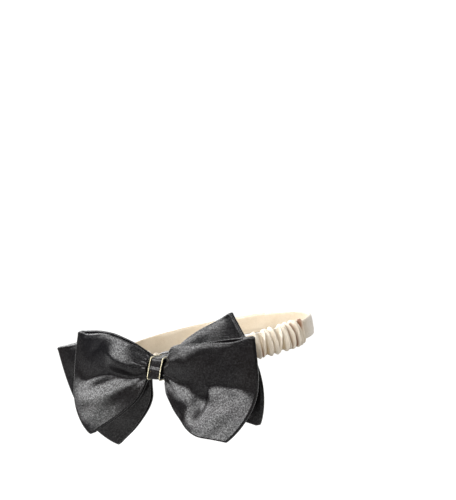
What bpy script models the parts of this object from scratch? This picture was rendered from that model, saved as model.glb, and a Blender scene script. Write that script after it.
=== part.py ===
# Pet bow tie collar: two satin bows gathered by a knot band, on a ruched satin neck loop.
# Metres, +Z up, the wearer faces -Y. The origin is the centre of the neck loop.

import bpy
import bmesh
import math
from collections import namedtuple
from mathutils import Matrix, Vector

# Neck loop
NECK_RADIUS = 0.0615          # inside the loop, a 38.6 cm neck
COLLAR_SIDE_TILT = 11.3       # degrees, the +X side sits higher on the neck
COLLAR_FORWARD_TILT = 3.1     # degrees, the nape sits higher than the throat
RUCHED_HALF_ARC = 90.0        # degrees each way from the knot
RUCHED_THICKNESS = 0.0055
RUCHED_HEIGHT = 0.0165
CASING_SQUASH = 0.7           # below 1 the casing's section is squarer than an oval
CASING_WAIST = 0.0118         # the casing's height where the bow's keeper grips it
CASING_WAIST_RUN = 0.0120     # the casing has its full height this far from the keeper
RUCHE_PITCH = 0.0053          # along the middle of the casing
RUCHE_DEPTH = 0.0019
RUCHE_LEAN = 0.9              # turns of a ruche's wave from the lower edge to the upper one
RUCHE_FACE = 0.5              # share of the ruches' depth on the outer face
RUCHE_EDGE = 0.4              # share of it at the upper and lower edge
PLAIN_THICKNESS = 0.0030
PLAIN_HEIGHT = 0.0128

# Bows: the reach is from the knot to a loop's top corner, the rise half of a loop's end
FRONT_REACH = 0.0680
FRONT_RISE = 0.0330
BACK_REACH = 0.0720
BACK_RISE = 0.0350
CLOTH = 0.0010                # wall of the folded satin
LAYER_STEP = 0.0022           # between neighbouring layers inside the knot
FRONT_FULLNESS = 0.0034       # how far a loop's front swells from its middle plane
BACK_BOW_FULLNESS = 0.0027
LOOP_BACK_FULLNESS = 0.0020
FRONT_FOLD_DEPTH = 0.0044
BACK_FOLD_DEPTH = 0.0027
FLARE = 0.0135                # a front loop's foot comes forward by this much over the flare's drop
FLARE_START = 0.0100          # the flare begins this far out from the knot
FLARE_RUN = 0.0320
FLARE_TOP = -0.0080           # and below this height
FLARE_DROP = 0.0300
FLARE_POWER = 1.2             # above 1 the flare steepens towards the foot
OPENING_RUN = 0.35            # share of the reach over which the setback grows
FULLEST = 0.55                # share of the way out where a loop is fullest
END_FOLD_RADIUS = 0.0016
END_SWELL_SKEW = 0.8          # below 1 the end edge swells most under its middle
BOW_SWEEP = 9.0               # degrees that the loops fall back round the neck
FRONT_BOW_SETBACK = -0.0045   # how far a bow's open loops stand behind its own waist
BACK_BOW_SETBACK = 0.0045
WAIST_LEAN = 0.0026           # the top of the gathered waist lies this much further back
LEAN_RUN = 0.0160             # the lean is gone this far beyond the knot
PLEAT_DEPTH = 0.0007
PLEAT_COUNT = 3
PLEAT_RUN = 0.6               # share of the way out that the front bow's pleats reach
HIDDEN_PLEAT_DEPTH = 0.0003
HIDDEN_PLEAT_RUN = 0.12

# Knot
KNOT_WIDTH = 0.0096
KNOT_HEIGHT = 0.0134
KNOT_WALL = 0.0012
KNOT_SLANT = 0.0022           # sideways drift of the band from its foot to its top
TRIM_RADIUS = 0.0005
KNOT_FRONT_BEND = -0.05       # where the front starts to lean back, a share of half the height
KNOT_CORNER_RADIUS = 0.0018
KEEPER_WALL = 0.0012
KEEPER_CORNER_RADIUS = 0.0012
CLEARANCE = 0.0003            # between pieces that touch
TILT_CLEARANCE = 0.0004       # more room where the tilted loop passes the upright knot

# Mesh fineness
LOOP_STEPS = 8
FOLD_STEPS = 3
ACROSS_STEPS = 14
STEPS_PER_RUCHE = 4
CASING_SIDES = 12
PLAIN_SIDES = 10
PLAIN_STEPS = 40
KNOT_CORNER_STEPS = 5
KEEPER_CORNER_STEPS = 3
TRIM_SIDES = 6

# A loop's outline: a row for each section from the waist outwards. The lengths are
# shares of the bow's reach (out) and of its rise (up), at the top and the lower edge.
Section = namedtuple("Section", "at top_out top_up low_out low_up")

FRONT_LEFT_OUTLINE = (
    Section(0.10, 0.095, 0.24, 0.105, -0.30),
    Section(0.25, 0.225, 0.43, 0.165, -0.56),
    Section(0.45, 0.415, 0.56, 0.300, -0.86),
    Section(0.70, 0.630, 0.60, 0.460, -1.13),
    Section(1.00, 0.845, 0.56, 0.575, -1.31),
)
FRONT_RIGHT_OUTLINE = (
    Section(0.10, 0.135, 0.27, 0.102, -0.30),
    Section(0.25, 0.210, 0.47, 0.150, -0.52),
    Section(0.45, 0.445, 0.54, 0.280, -0.84),
    Section(0.70, 0.690, 0.65, 0.470, -1.10),
    Section(1.00, 0.965, 0.74, 0.790, -1.22),
)
BACK_LEFT_OUTLINE = (
    Section(0.10, 0.095, 0.18, 0.102, -0.34),
    Section(0.25, 0.260, 0.27, 0.130, -0.62),
    Section(0.45, 0.530, 0.29, 0.215, -0.92),
    Section(0.70, 0.850, 0.27, 0.340, -1.24),
    Section(1.00, 1.165, 0.10, 0.510, -1.57),
)
BACK_RIGHT_OUTLINE = (
    Section(0.10, 0.130, 0.27, 0.105, -0.24),
    Section(0.25, 0.190, 0.44, 0.220, -0.40),
    Section(0.45, 0.300, 0.63, 0.400, -0.62),
    Section(0.70, 0.440, 0.82, 0.630, -0.83),
    Section(1.00, 0.610, 1.03, 0.870, -0.97),
)

# Folds of a loop's front: across is -1 at the lower edge and 1 at the top edge, height is
# a share of the bow's fold depth (towards the viewer), the rest are shares of the way out.
Fold = namedtuple("Fold", "from_across to_across height width start peak end")

FRONT_LEFT_FOLDS = (
    Fold(0.20, 0.60, 0.55, 0.26, 0.00, 0.35, 0.75),
    Fold(-0.13, -0.20, -0.75, 0.18, 0.00, 0.50, 1.10),
    Fold(0.14, -0.04, -0.40, 0.14, 0.20, 0.60, 1.10),
)
FRONT_RIGHT_FOLDS = (
    Fold(0.35, 0.60, 0.50, 0.30, 0.00, 0.30, 0.70),
    Fold(-0.18, -0.60, -0.90, 0.20, 0.00, 0.38, 0.72),
    Fold(-0.50, 0.30, -0.50, 0.22, 0.30, 0.62, 1.10),
    Fold(-0.62, -0.85, 0.25, 0.20, 0.05, 0.40, 0.75),
)
BACK_FOLDS = (
    Fold(0.40, 0.50, 0.20, 0.35, 0.05, 0.50, 1.10),
    Fold(0.05, 0.05, -0.40, 0.20, 0.00, 0.45, 1.05),
    Fold(-0.40, -0.50, 0.20, 0.35, 0.05, 0.50, 1.10),
)
FOLDS_GROW = (-0.4, 0.5)      # every fold grows over this span of the way out

Loop = namedtuple("Loop", "side outline folds bulge")
Bow = namedtuple(
    "Bow", "reach rise setback waist_depth fullness crown_fall fold_depth flare shown_pleats loops")

FRONT_BOW = Bow(
    FRONT_REACH, FRONT_RISE, FRONT_BOW_SETBACK, -1.5 * LAYER_STEP,
    FRONT_FULLNESS, 0.15, FRONT_FOLD_DEPTH, FLARE, True,
    (Loop(1, FRONT_RIGHT_OUTLINE, FRONT_RIGHT_FOLDS, 0.27),
     Loop(-1, FRONT_LEFT_OUTLINE, FRONT_LEFT_FOLDS, 0.36)))
BACK_BOW = Bow(
    BACK_REACH, BACK_RISE, BACK_BOW_SETBACK, 0.5 * LAYER_STEP,
    BACK_BOW_FULLNESS, 0.7, BACK_FOLD_DEPTH, 0.0, False,
    (Loop(1, BACK_RIGHT_OUTLINE, BACK_FOLDS, 0.26),
     Loop(-1, BACK_LEFT_OUTLINE, BACK_FOLDS, 0.30)))

# The ruches' drift along the loop, in radians of their wave: size and pace of each ripple
Ripple = namedtuple("Ripple", "size pace phase")

RUCHE_DRIFT = (
    Ripple(0.60, 0.37, 0.0),
    Ripple(0.40, 0.81, 1.3),
    Ripple(0.30, 2.30, 0.6),
)

# Depths behind the knot's centre that follow from the layers in the waist
WAIST_FRONT = 1.5 * LAYER_STEP + CLOTH / 2 + PLEAT_DEPTH
WAIST_BACK = 1.5 * LAYER_STEP + CLOTH / 2 + HIDDEN_PLEAT_DEPTH + WAIST_LEAN
KNOT_FRONT = WAIST_FRONT + CLEARANCE + KNOT_WALL
KNOT_BACK = WAIST_BACK + CLEARANCE + KNOT_WALL
WAIST_HALF_HEIGHT = KNOT_HEIGHT / 2 - KNOT_WALL - 2 * CLEARANCE
WAIST_HALF_LENGTH = KNOT_WIDTH / 2 + CLEARANCE + CLOTH
WAIST_CORNER = math.hypot(WAIST_HALF_LENGTH + KNOT_SLANT, WAIST_HALF_HEIGHT)
KEEPER_WIDTH = KNOT_WIDTH - 4 * TRIM_RADIUS - 4 * CLEARANCE

CASING_MIDDLE = NECK_RADIUS + RUCHED_THICKNESS / 2
CASING_OUTER = NECK_RADIUS + RUCHED_THICKNESS
TRIM_DEPTH = 2 * TRIM_RADIUS + CLEARANCE
KNOT_STANDOFF = (CASING_OUTER + CLEARANCE + KEEPER_WALL + CLEARANCE + TRIM_DEPTH + KNOT_BACK
                 + TILT_CLEARANCE)


def clear_scene():
    for obj in list(bpy.data.objects):
        bpy.data.objects.remove(obj, do_unlink=True)


def make_material(name, colour, roughness, metallic=0.0):
    material = bpy.data.materials.new(name)
    material.use_nodes = True
    shader = material.node_tree.nodes["Principled BSDF"]
    shader.inputs["Base Color"].default_value = (*colour, 1.0)
    shader.inputs["Roughness"].default_value = roughness
    shader.inputs["Metallic"].default_value = metallic
    return material


def smoothstep(x):
    x = min(1.0, max(0.0, x))
    return x * x * (3.0 - 2.0 * x)


def rise_and_fall(x, start, peak, end):
    """0 at start, 1 at peak and 0 at end, with soft shoulders."""
    if x <= peak:
        return smoothstep((x - start) / (peak - start))
    return smoothstep((end - x) / (end - peak))


def read_curve(rows, column, at):
    """A smooth curve through one column of a table whose first column is the place."""
    index = 0
    while index < len(rows) - 2 and rows[index + 1].at < at:
        index += 1
    low, high = rows[index], rows[index + 1]
    before = rows[max(index - 1, 0)]
    after = rows[min(index + 2, len(rows) - 1)]
    span = high.at - low.at
    value = [getattr(row, column) for row in (before, low, high, after)]
    slope_low = (value[2] - value[0]) / max(high.at - before.at, span)
    slope_high = (value[3] - value[1]) / max(after.at - low.at, span)
    t = (at - low.at) / span
    return ((2 * t ** 3 - 3 * t ** 2 + 1) * value[1] + (t ** 3 - 2 * t ** 2 + t) * span * slope_low
            + (3 * t ** 2 - 2 * t ** 3) * value[2] + (t ** 3 - t ** 2) * span * slope_high)


def waist_section(bow, loop):
    """The section at the knot's edge, which slants as the knot does."""
    up = WAIST_HALF_HEIGHT / bow.rise
    return Section(0.0, (WAIST_HALF_LENGTH + loop.side * KNOT_SLANT) / bow.reach, up,
                   WAIST_HALF_LENGTH / bow.reach, -up)


def outline_point(bow, loop, at, across):
    """Where a point of the loop lies in the bow's plane, as outward and upward lengths."""
    rows = (waist_section(bow, loop),) + loop.outline
    top_out, top_up, low_out, low_up = (
        read_curve(rows, column, at) for column in ("top_out", "top_up", "low_out", "low_up"))
    share = (across + 1) / 2
    top = Vector((top_out * bow.reach, top_up * bow.rise))
    low = Vector((low_out * bow.reach, low_up * bow.rise))
    edge = top - low
    outward = Vector((edge.y, -edge.x)).normalized()
    swell = loop.bulge * bow.rise * at ** 2 * math.sin(math.pi * share ** END_SWELL_SKEW)
    return low + edge * share + outward * swell, outward


def pleats(bow, at, across, layer):
    """Small pleats from the knot, deeper and longer on the front that shows."""
    shown = bow.shown_pleats and layer < 0
    depth = PLEAT_DEPTH if shown else HIDDEN_PLEAT_DEPTH
    fade = smoothstep(1 - at / (PLEAT_RUN if shown else HIDDEN_PLEAT_RUN))
    return depth * fade * math.cos(math.pi * PLEAT_COUNT * across)


def loop_depth(bow, loop, at, across, place, layer):
    """Depth behind the knot's centre; layer is -1 on the loop's front and 1 on its back."""
    beyond = max(place.length - WAIST_CORNER, 0)
    opening = math.sqrt(smoothstep(beyond / (OPENING_RUN * bow.reach)))
    middle = bow.waist_depth + LAYER_STEP / 2 + bow.setback * opening
    middle += beyond * math.tan(math.radians(BOW_SWEEP))
    lean = WAIST_LEAN * smoothstep(1 - beyond / LEAN_RUN) * smoothstep(place.y / WAIST_HALF_HEIGHT)
    drop = max(0.0, (FLARE_TOP - place.y) / FLARE_DROP)
    flare = bow.flare * smoothstep((place.x - FLARE_START) / FLARE_RUN) * drop ** FLARE_POWER
    fullness = bow.fullness if layer < 0 else LOOP_BACK_FULLNESS
    crown = 1 - bow.crown_fall * across ** 2
    swell = fullness * rise_and_fall(at, 0.0, FULLEST, 1.0) * crown
    shut = LAYER_STEP / 2 + (END_FOLD_RADIUS - LAYER_STEP / 2) * smoothstep(at / 0.5)
    depth = middle + lean - flare + layer * (shut + swell) + pleats(bow, at, across, layer)
    if layer < 0:
        grown = rise_and_fall(at, *FOLDS_GROW, 1.0)
        for fold in loop.folds:
            line = fold.from_across + (fold.to_across - fold.from_across) * at
            ridge = math.exp(-((across - line) / fold.width) ** 2)
            reach = rise_and_fall(at, fold.start, fold.peak, fold.end)
            depth -= fold.height * bow.fold_depth * ridge * reach * grown
    return depth


def loop_point(bow, loop, at, across, layer):
    place, outward = outline_point(bow, loop, at, across)
    depth = loop_depth(bow, loop, at, across, place, layer)
    point = Vector((loop.side * place.x, depth, place.y))
    return point, Vector((loop.side * outward.x, 0.0, outward.y))


def loop_line(bow, loop, across):
    """One line round a loop: out along the front, round the end fold, back to the waist."""
    front = [loop_point(bow, loop, step / LOOP_STEPS, across, -1) for step in range(LOOP_STEPS + 1)]
    back = [loop_point(bow, loop, step / LOOP_STEPS, across, 1) for step in range(LOOP_STEPS + 1)]
    (tip_front, outward), (tip_back, _) = front[-1], back[-1]
    centre = (tip_front + tip_back) / 2
    half = (tip_front - tip_back) / 2
    fold = []
    for step in range(1, FOLD_STEPS + 1):
        angle = math.pi * step / (FOLD_STEPS + 1)
        fold.append(centre + half * math.cos(angle) + outward * half.length * math.sin(angle))
    return [point for point, _ in front] + fold + [point for point, _ in reversed(back)]


def bow_lines(bow):
    """The bow's middle surface: closed lines, one for each step across the ribbon."""
    right, left = bow.loops
    lines = []
    for step in range(ACROSS_STEPS + 1):
        across = 2 * step / ACROSS_STEPS - 1
        lines.append(loop_line(bow, right, across) + list(reversed(loop_line(bow, left, across))))
    return lines


def link_object(name, mesh, material, parent, location=(0, 0, 0)):
    mesh.materials.append(material)
    obj = bpy.data.objects.new(name, mesh)
    bpy.context.scene.collection.objects.link(obj)
    obj.parent = parent
    obj.location = location
    return obj


def mesh_from(name, verts, faces, sharp_angle=50.0):
    mesh = bpy.data.meshes.new(name)
    mesh.from_pydata([tuple(vert) for vert in verts], [], faces)
    work = bmesh.new()
    work.from_mesh(mesh)
    bmesh.ops.recalc_face_normals(work, faces=work.faces)
    work.to_mesh(mesh)
    work.free()
    mesh.shade_smooth()
    mesh.set_sharp_from_angle(angle=math.radians(sharp_angle))
    return mesh


def surface_normals(lines):
    """Normals of a grid that is closed along its lines and open across them."""
    count = len(lines[0])
    normals = []
    for row, line in enumerate(lines):
        below = lines[max(row - 1, 0)]
        above = lines[min(row + 1, len(lines) - 1)]
        normals.append([
            (line[(i + 1) % count] - line[i - 1]).cross(above[i] - below[i]).normalized()
            for i in range(count)])
    return normals


def closed_band(name, lines, thickness):
    """A band of cloth round closed lines, as a solid with its real wall."""
    normals = surface_normals(lines)
    rows, count = len(lines), len(lines[0])
    verts = []
    for side in (1, -1):
        for row in range(rows):
            for i in range(count):
                verts.append(lines[row][i] + normals[row][i] * (side * thickness / 2))
    faces = []
    lower_sheet = rows * count
    for i in range(count):
        j = (i + 1) % count
        for row in range(rows - 1):
            here, there = row * count, (row + 1) * count
            faces.append((here + i, here + j, there + j, there + i))
            faces.append((lower_sheet + here + i, lower_sheet + there + i,
                          lower_sheet + there + j, lower_sheet + here + j))
        last = (rows - 1) * count
        faces.append((i, lower_sheet + i, lower_sheet + j, j))
        faces.append((last + i, last + j, lower_sheet + last + j, lower_sheet + last + i))
    return mesh_from(name, verts, faces)


def swept_solid(name, rings, closed):
    """A solid through rings of points, joined end to end or capped."""
    count = len(rings[0])
    verts = [point for ring in rings for point in ring]
    faces = []
    spans = len(rings) if closed else len(rings) - 1
    for step in range(spans):
        here, there = step * count, ((step + 1) % len(rings)) * count
        for i in range(count):
            j = (i + 1) % count
            faces.append((here + i, here + j, there + j, there + i))
    if not closed:
        faces.append(tuple(range(count)))
        faces.append(tuple(range((len(rings) - 1) * count, len(rings) * count)))
    return mesh_from(name, verts, faces)


def casing_profile(sides, thickness, height):
    """A rounded flat oval: (outward, up, angle) from the middle of the casing."""
    points = []
    for step in range(sides):
        angle = 2 * math.pi * step / sides
        outward = math.copysign(abs(math.cos(angle)) ** CASING_SQUASH, math.cos(angle)) * thickness / 2
        up = math.copysign(abs(math.sin(angle)) ** CASING_SQUASH, math.sin(angle)) * height / 2
        points.append((outward, up, angle))
    return points


def on_loop(angle, radius, height):
    """A point of the neck loop in its own frame; angle 0 is behind the knot."""
    return Vector((radius * math.sin(angle), -radius * math.cos(angle), height))


def ruche_swell(along, angle_round, up_share, end_distance):
    """How far the gathered cloth stands out; the keeper and the sewn ends flatten it."""
    drift = sum(ripple.size * math.sin(along * ripple.pace + ripple.phase) for ripple in RUCHE_DRIFT)
    wave = math.cos(2 * math.pi * (along + RUCHE_LEAN / 2 * up_share) + drift)
    facing = (1 + math.cos(angle_round)) / 2
    edge = math.sin(angle_round) ** 4
    grip = smoothstep(end_distance / RUCHE_PITCH)
    return RUCHE_DEPTH * grip * (RUCHE_FACE * facing + RUCHE_EDGE * edge) * wave


def build_ruched_collar(material, parent):
    half_arc = math.radians(RUCHED_HALF_ARC)
    length = 2 * half_arc * CASING_MIDDLE
    ruches = round(length / RUCHE_PITCH)
    profile = casing_profile(CASING_SIDES, RUCHED_THICKNESS, RUCHED_HEIGHT)
    rings = []
    for step in range(ruches * STEPS_PER_RUCHE + 1):
        share = step / (ruches * STEPS_PER_RUCHE)
        angle = -half_arc + 2 * half_arc * share
        from_end = min(share, 1 - share) * length
        from_keeper = max(abs(angle) * CASING_MIDDLE - KEEPER_WIDTH / 2 - 3 * CLEARANCE, 0)
        gripped = 1 - smoothstep(from_keeper / CASING_WAIST_RUN)
        height_share = 1 - (1 - CASING_WAIST / RUCHED_HEIGHT) * gripped
        ring = []
        for outward, up, turn in profile:
            up_share = 2 * up / RUCHED_HEIGHT
            swell = ruche_swell(share * ruches, turn, up_share, min(from_end, from_keeper))
            radius = CASING_MIDDLE + outward + swell * math.cos(turn)
            ring.append(on_loop(angle, radius, up * height_share + swell * math.sin(turn)))
        rings.append(ring)
    link_object("collar_ruched", swept_solid("collar_ruched", rings, False), material, parent)


def build_plain_collar(material, parent):
    gap = CLEARANCE / CASING_MIDDLE
    start = math.radians(RUCHED_HALF_ARC) + gap
    span = 2 * (math.pi - start)
    profile = casing_profile(PLAIN_SIDES, PLAIN_THICKNESS, PLAIN_HEIGHT)
    rings = []
    for step in range(PLAIN_STEPS + 1):
        angle = start + span * step / PLAIN_STEPS
        rings.append([on_loop(angle, CASING_MIDDLE + outward, up) for outward, up, _ in profile])
    link_object("collar_plain", swept_solid("collar_plain", rings, False), material, parent)


def rounded_loop(half_depth, half_height, corner, steps):
    """A rounded rectangle in depth and height, as (depth, up) points."""
    points = []
    for quarter in range(4):
        centre_depth = (half_depth - corner) * (1, -1, -1, 1)[quarter]
        centre_up = (half_height - corner) * (1, 1, -1, -1)[quarter]
        for step in range(steps + 1):
            angle = math.pi / 2 * (quarter + step / steps)
            points.append((centre_depth + corner * math.cos(angle),
                           centre_up + corner * math.sin(angle)))
    return points


def build_keeper(material, parent):
    """A flat loop round the casing, sewn to the back of the knot."""
    half_depth, half_height = RUCHED_THICKNESS / 2 + CLEARANCE, CASING_WAIST / 2 + CLEARANCE
    inner = rounded_loop(half_depth, half_height, KEEPER_CORNER_RADIUS, KEEPER_CORNER_STEPS)
    outer = rounded_loop(half_depth + KEEPER_WALL, half_height + KEEPER_WALL,
                         KEEPER_CORNER_RADIUS + KEEPER_WALL, KEEPER_CORNER_STEPS)
    rings = []
    for (in_depth, in_up), (out_depth, out_up) in zip(inner, outer):
        ring = []
        for across in (-KEEPER_WIDTH / 2, KEEPER_WIDTH / 2):
            ring.append(Vector((across, in_depth - CASING_MIDDLE, in_up)))
        for across in (KEEPER_WIDTH / 2, -KEEPER_WIDTH / 2):
            ring.append(Vector((across, out_depth - CASING_MIDDLE, out_up)))
        rings.append(ring)
    link_object("bow_keeper", swept_solid("bow_keeper", rings, True), material, parent)


def knot_wrap(offset):
    """The knot's closed outline round the waist, as (sideways, depth, up) points.

    The front is upright below and leans back above; offset moves it in or out."""
    half = KNOT_HEIGHT / 2
    corners = (
        (-KNOT_FRONT, -half),
        (-KNOT_FRONT, KNOT_FRONT_BEND * half),
        (-KNOT_FRONT + WAIST_LEAN, half),
        (KNOT_BACK, half),
        (KNOT_BACK, -half),
    )
    centre = Vector(((KNOT_BACK - KNOT_FRONT) / 2, 0.0))
    points = []
    for index, corner in enumerate(corners):
        here = Vector(corner)
        before = Vector(corners[index - 1]) - here
        after = Vector(corners[(index + 1) % len(corners)]) - here
        start = here + before.normalized() * KNOT_CORNER_RADIUS
        end = here + after.normalized() * KNOT_CORNER_RADIUS
        for step in range(KNOT_CORNER_STEPS):
            t = step / (KNOT_CORNER_STEPS - 1)
            points.append(start * (1 - t) ** 2 + here * 2 * t * (1 - t) + end * t ** 2)
    wrapped = []
    count = len(points)
    for i, point in enumerate(points):
        along = points[(i + 1) % count] - points[i - 1]
        outward = Vector((along.y, -along.x)).normalized()
        if outward.dot(point - centre) < 0:
            outward = -outward
        moved = point + outward * offset
        slant = KNOT_SLANT * (moved.y + half) / (2 * half)
        wrapped.append(Vector((slant, moved.x, moved.y)))
    return wrapped


def build_knot(material, parent):
    outer, inner = knot_wrap(0.0), knot_wrap(-KNOT_WALL)
    side = Vector((KNOT_WIDTH / 2, 0.0, 0.0))
    soft = Vector((KNOT_WIDTH / 2 - KNOT_WALL / 3, 0.0, 0.0))
    rings = []
    for out, into in zip(outer, inner):
        edge = out.lerp(into, 1 / 3)
        rings.append([into - side, into + side, edge + side, out + soft, out - soft, edge - side])
    link_object("knot_band", swept_solid("knot_band", rings, True), material, parent)


def build_trim(name, side, material, parent):
    """A round cord laid round the knot along one of its edges."""
    path = knot_wrap(TRIM_RADIUS + CLEARANCE)
    shift = Vector((side * (KNOT_WIDTH / 2 - TRIM_RADIUS), 0.0, 0.0))
    centre = sum(path, Vector()) / len(path)
    rings = []
    for i, point in enumerate(path):
        along = (path[(i + 1) % len(path)] - path[i - 1]).normalized()
        sideways = Vector((1.0, 0.0, 0.0))
        sideways = (sideways - along * sideways.dot(along)).normalized()
        outward = along.cross(sideways)
        if outward.dot(point - centre) < 0:
            outward = -outward
        ring = []
        for step in range(TRIM_SIDES):
            angle = 2 * math.pi * step / TRIM_SIDES
            ring.append(point + shift + sideways * (TRIM_RADIUS * math.cos(angle))
                        + outward * (TRIM_RADIUS * math.sin(angle)))
        rings.append(ring)
    link_object(name, swept_solid(name, rings, True), material, parent)


def build():
    clear_scene()
    satin = make_material("black_satin", (0.012, 0.012, 0.014), 0.32)
    champagne = make_material("champagne_satin", (0.80, 0.69, 0.55), 0.35)
    gold = make_material("pale_gold_thread", (0.83, 0.72, 0.46), 0.30, 1.0)

    neck = bpy.data.objects.new("neck_axis", None)
    bpy.context.scene.collection.objects.link(neck)
    side_tilt = Matrix.Rotation(-math.radians(COLLAR_SIDE_TILT), 4, "Y")
    forward_tilt = Matrix.Rotation(math.radians(COLLAR_FORWARD_TILT), 4, "X")
    neck.matrix_world = side_tilt @ forward_tilt

    seat = bpy.data.objects.new("bow_seat", None)
    bpy.context.scene.collection.objects.link(seat)
    seat.location = side_tilt @ forward_tilt @ on_loop(0.0, KNOT_STANDOFF, 0.0)

    for name, bow in (("front_bow", FRONT_BOW), ("back_bow", BACK_BOW)):
        link_object(name, closed_band(name, bow_lines(bow), CLOTH), satin, seat)
    build_knot(satin, seat)
    build_trim("knot_trim_left", -1, gold, seat)
    build_trim("knot_trim_right", 1, gold, seat)
    build_keeper(satin, neck)
    build_ruched_collar(champagne, neck)
    build_plain_collar(champagne, neck)


build()
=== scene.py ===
import math
from collections import namedtuple

import bpy
import numpy as np
from mathutils import Matrix, Vector


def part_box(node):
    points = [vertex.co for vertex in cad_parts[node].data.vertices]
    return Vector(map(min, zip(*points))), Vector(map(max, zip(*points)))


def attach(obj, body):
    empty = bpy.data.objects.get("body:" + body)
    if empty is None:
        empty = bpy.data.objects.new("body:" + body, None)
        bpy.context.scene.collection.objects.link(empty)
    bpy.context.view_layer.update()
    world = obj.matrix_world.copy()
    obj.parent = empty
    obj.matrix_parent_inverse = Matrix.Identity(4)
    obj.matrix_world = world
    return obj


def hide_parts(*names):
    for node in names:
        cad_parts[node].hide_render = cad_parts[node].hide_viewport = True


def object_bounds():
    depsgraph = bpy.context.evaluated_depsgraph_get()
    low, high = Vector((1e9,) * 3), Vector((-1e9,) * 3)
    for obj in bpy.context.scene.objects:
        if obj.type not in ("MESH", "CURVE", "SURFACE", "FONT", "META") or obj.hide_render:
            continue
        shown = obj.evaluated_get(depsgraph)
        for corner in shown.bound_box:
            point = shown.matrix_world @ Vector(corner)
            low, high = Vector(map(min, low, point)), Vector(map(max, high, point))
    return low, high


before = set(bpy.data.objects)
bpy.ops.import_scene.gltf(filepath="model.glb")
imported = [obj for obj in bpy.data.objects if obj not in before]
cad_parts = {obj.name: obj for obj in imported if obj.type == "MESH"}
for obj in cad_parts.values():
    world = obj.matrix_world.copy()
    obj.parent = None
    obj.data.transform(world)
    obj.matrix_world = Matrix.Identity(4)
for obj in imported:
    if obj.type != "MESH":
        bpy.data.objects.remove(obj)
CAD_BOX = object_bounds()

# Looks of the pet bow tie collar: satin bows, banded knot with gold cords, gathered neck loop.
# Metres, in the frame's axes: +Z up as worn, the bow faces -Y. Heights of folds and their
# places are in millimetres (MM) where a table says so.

MM = 0.001

# Camera of the photograph, whose frame is 456 by 500 pixels
IMAGE_WIDTH, IMAGE_HEIGHT = 456, 500
CAMERA_AZIMUTH, CAMERA_ELEVATION = 28.0, 8.0
CAMERA_DISTANCE = 1.8
CAMERA_SENSOR = 36.0  # millimetres
CAMERA_CLIP = (0.05, 20.0)
METRES_PER_PIXEL = 0.635 * MM  # at the knot's distance
KNOT_PIXEL = (158.0, 367.5)  # where the knot's middle lies in the frame

# Neck loop
COLLAR_SIDE_TILT = 11.3  # degrees, the +X side is higher
COLLAR_FORWARD_TILT = 3.1  # degrees, the nape is higher
NECK_RADIUS = 61.5 * MM
RUCHED_HALF_ARC = 90.0  # degrees each way from the knot
RUCHED_THICKNESS = 5.5 * MM
RUCHED_HEIGHT = 16.5 * MM
CASING_SQUASH = 0.7  # below 1 its section is squarer than an oval
CASING_WAIST = 11.8 * MM  # its height where the keeper grips it
CASING_WAIST_RUN = 12.0 * MM  # it is full again this far from the keeper
PLAIN_THICKNESS = 3.0 * MM
PLAIN_HEIGHT = 12.8 * MM

# Gathers of the casing
RUCHE_PITCH = 4.4 * MM  # where they aren't charted one by one
FINE_PITCH = 1.7 * MM
RUCHE_SEED, FINE_SEED = 11, 23
RUCHE_SHIFT = 0.25  # off the even pitch at most, a share of it
RUCHE_LEANS = (-3.0, 4.0)  # in millimetres, the least and the most
RUCHE_HEIGHTS = (0.65, 1.0)  # shares of the full height
RUCHE_WIDTHS = (0.50, 0.80)  # a flank's width, a share of the pitch
RUCHE_BEND = 0.5  # in millimetres, how far a crest line bows
FLANK_POWER = 1.9  # above 1 the crests are narrow
CREST, FINE_CREST = 0.45, 0.25  # in millimetres, how round the crests are
VALLEY_DEPTH = 2.2 * MM  # a valley lies this far inside the plain casing
RUCHE_RISE, FINE_RISE = 4.4 * MM, 0.60 * MM
INNER_SHARE = 0.35  # left of the gathers' depth on the inner side
GRIP_RUN = 4.0 * MM  # gathers grow over this length
EDGE_DIP = 1.0 * MM  # of the upper and lower edges in a valley
EDGE_RISE, FINE_EDGE_RISE = 2.0 * MM, 0.3 * MM
TUCK_DEPTH = 1.2 * MM  # where the casing is sewn to the nape band
TUCK_PLACE, TUCK_LEAN, TUCK_WIDTH = 3.2 * MM, 1.4 * MM, 1.9 * MM
# strength of the painted shadow where the casing is tucked
TUCK_SHADE = 1.2
VALLEY_TOP, VALLEY_SOFTNESS = 0.60, 0.45  # painted shade, darker where the gathers are lower
VALLEY_SHADE, VALLEY_FADE, FINE_SHADE = 0.70, 0.40, 0.10
# the painted shadow lines fade out on the higher gathers
PAINTED_SHADOW_TOP, PAINTED_SHADOW_SOFTNESS = 0.75, 0.4

# Nape band
PULL_RUN = 6.0 * MM  # its ends are pulled in over about this length
PULL_SHARE = 0.06  # of its height
PULL_WRINKLE = 0.25 * MM
SEAM_DEPTH, SEAM_WIDTH = 0.35 * MM, 0.5 * MM
SEAM_PLACE = -0.36  # a share of the height
# painted shade: over the whole band, more at its pulled-in ends and on its inner side
BAND_SHADE, PULL_SHADE, INNER_SHADE = 0.22, 0.25, 0.30

# Bows, with the same driving sizes as the frame's solids
FRONT_REACH, FRONT_RISE = 68.0 * MM, 33.0 * MM
BACK_REACH, BACK_RISE = 72.0 * MM, 35.0 * MM
SOLID_CLOTH = 1.0 * MM  # wall of the frame's cloth
CLOTH = 0.9 * MM
LAYER_STEP = 2.2 * MM  # between neighbouring layers inside the knot
END_FOLD_RADIUS = 1.6 * MM
END_SWELL_SKEW = 0.8  # below 1 the end swells most under its middle
BOW_SWEEP = 9.0  # degrees that the loops fall back round the neck
FRONT_BOW_SETBACK = -4.5 * MM
BACK_BOW_SETBACK = 4.5 * MM
OPENING_RUN = 0.35  # the setback grows over this share of the reach
SHUT_RUN = 0.5  # the layers part over this share of the way out
WAIST_LEAN = 2.6 * MM  # the waist's top lies this much further back
LEAN_RUN = 16.0 * MM  # the lean is gone this far beyond the knot
LEAN_EVENNESS = 0.7  # 1 for an even lean, 0 for a soft bend
LENS_SPAN = (0.50, 0.82, 1.0)  # where the top edge gapes, shares of the way out
LENS_FROM = 0.6  # the gape starts this far up, 1 at the edge
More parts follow.
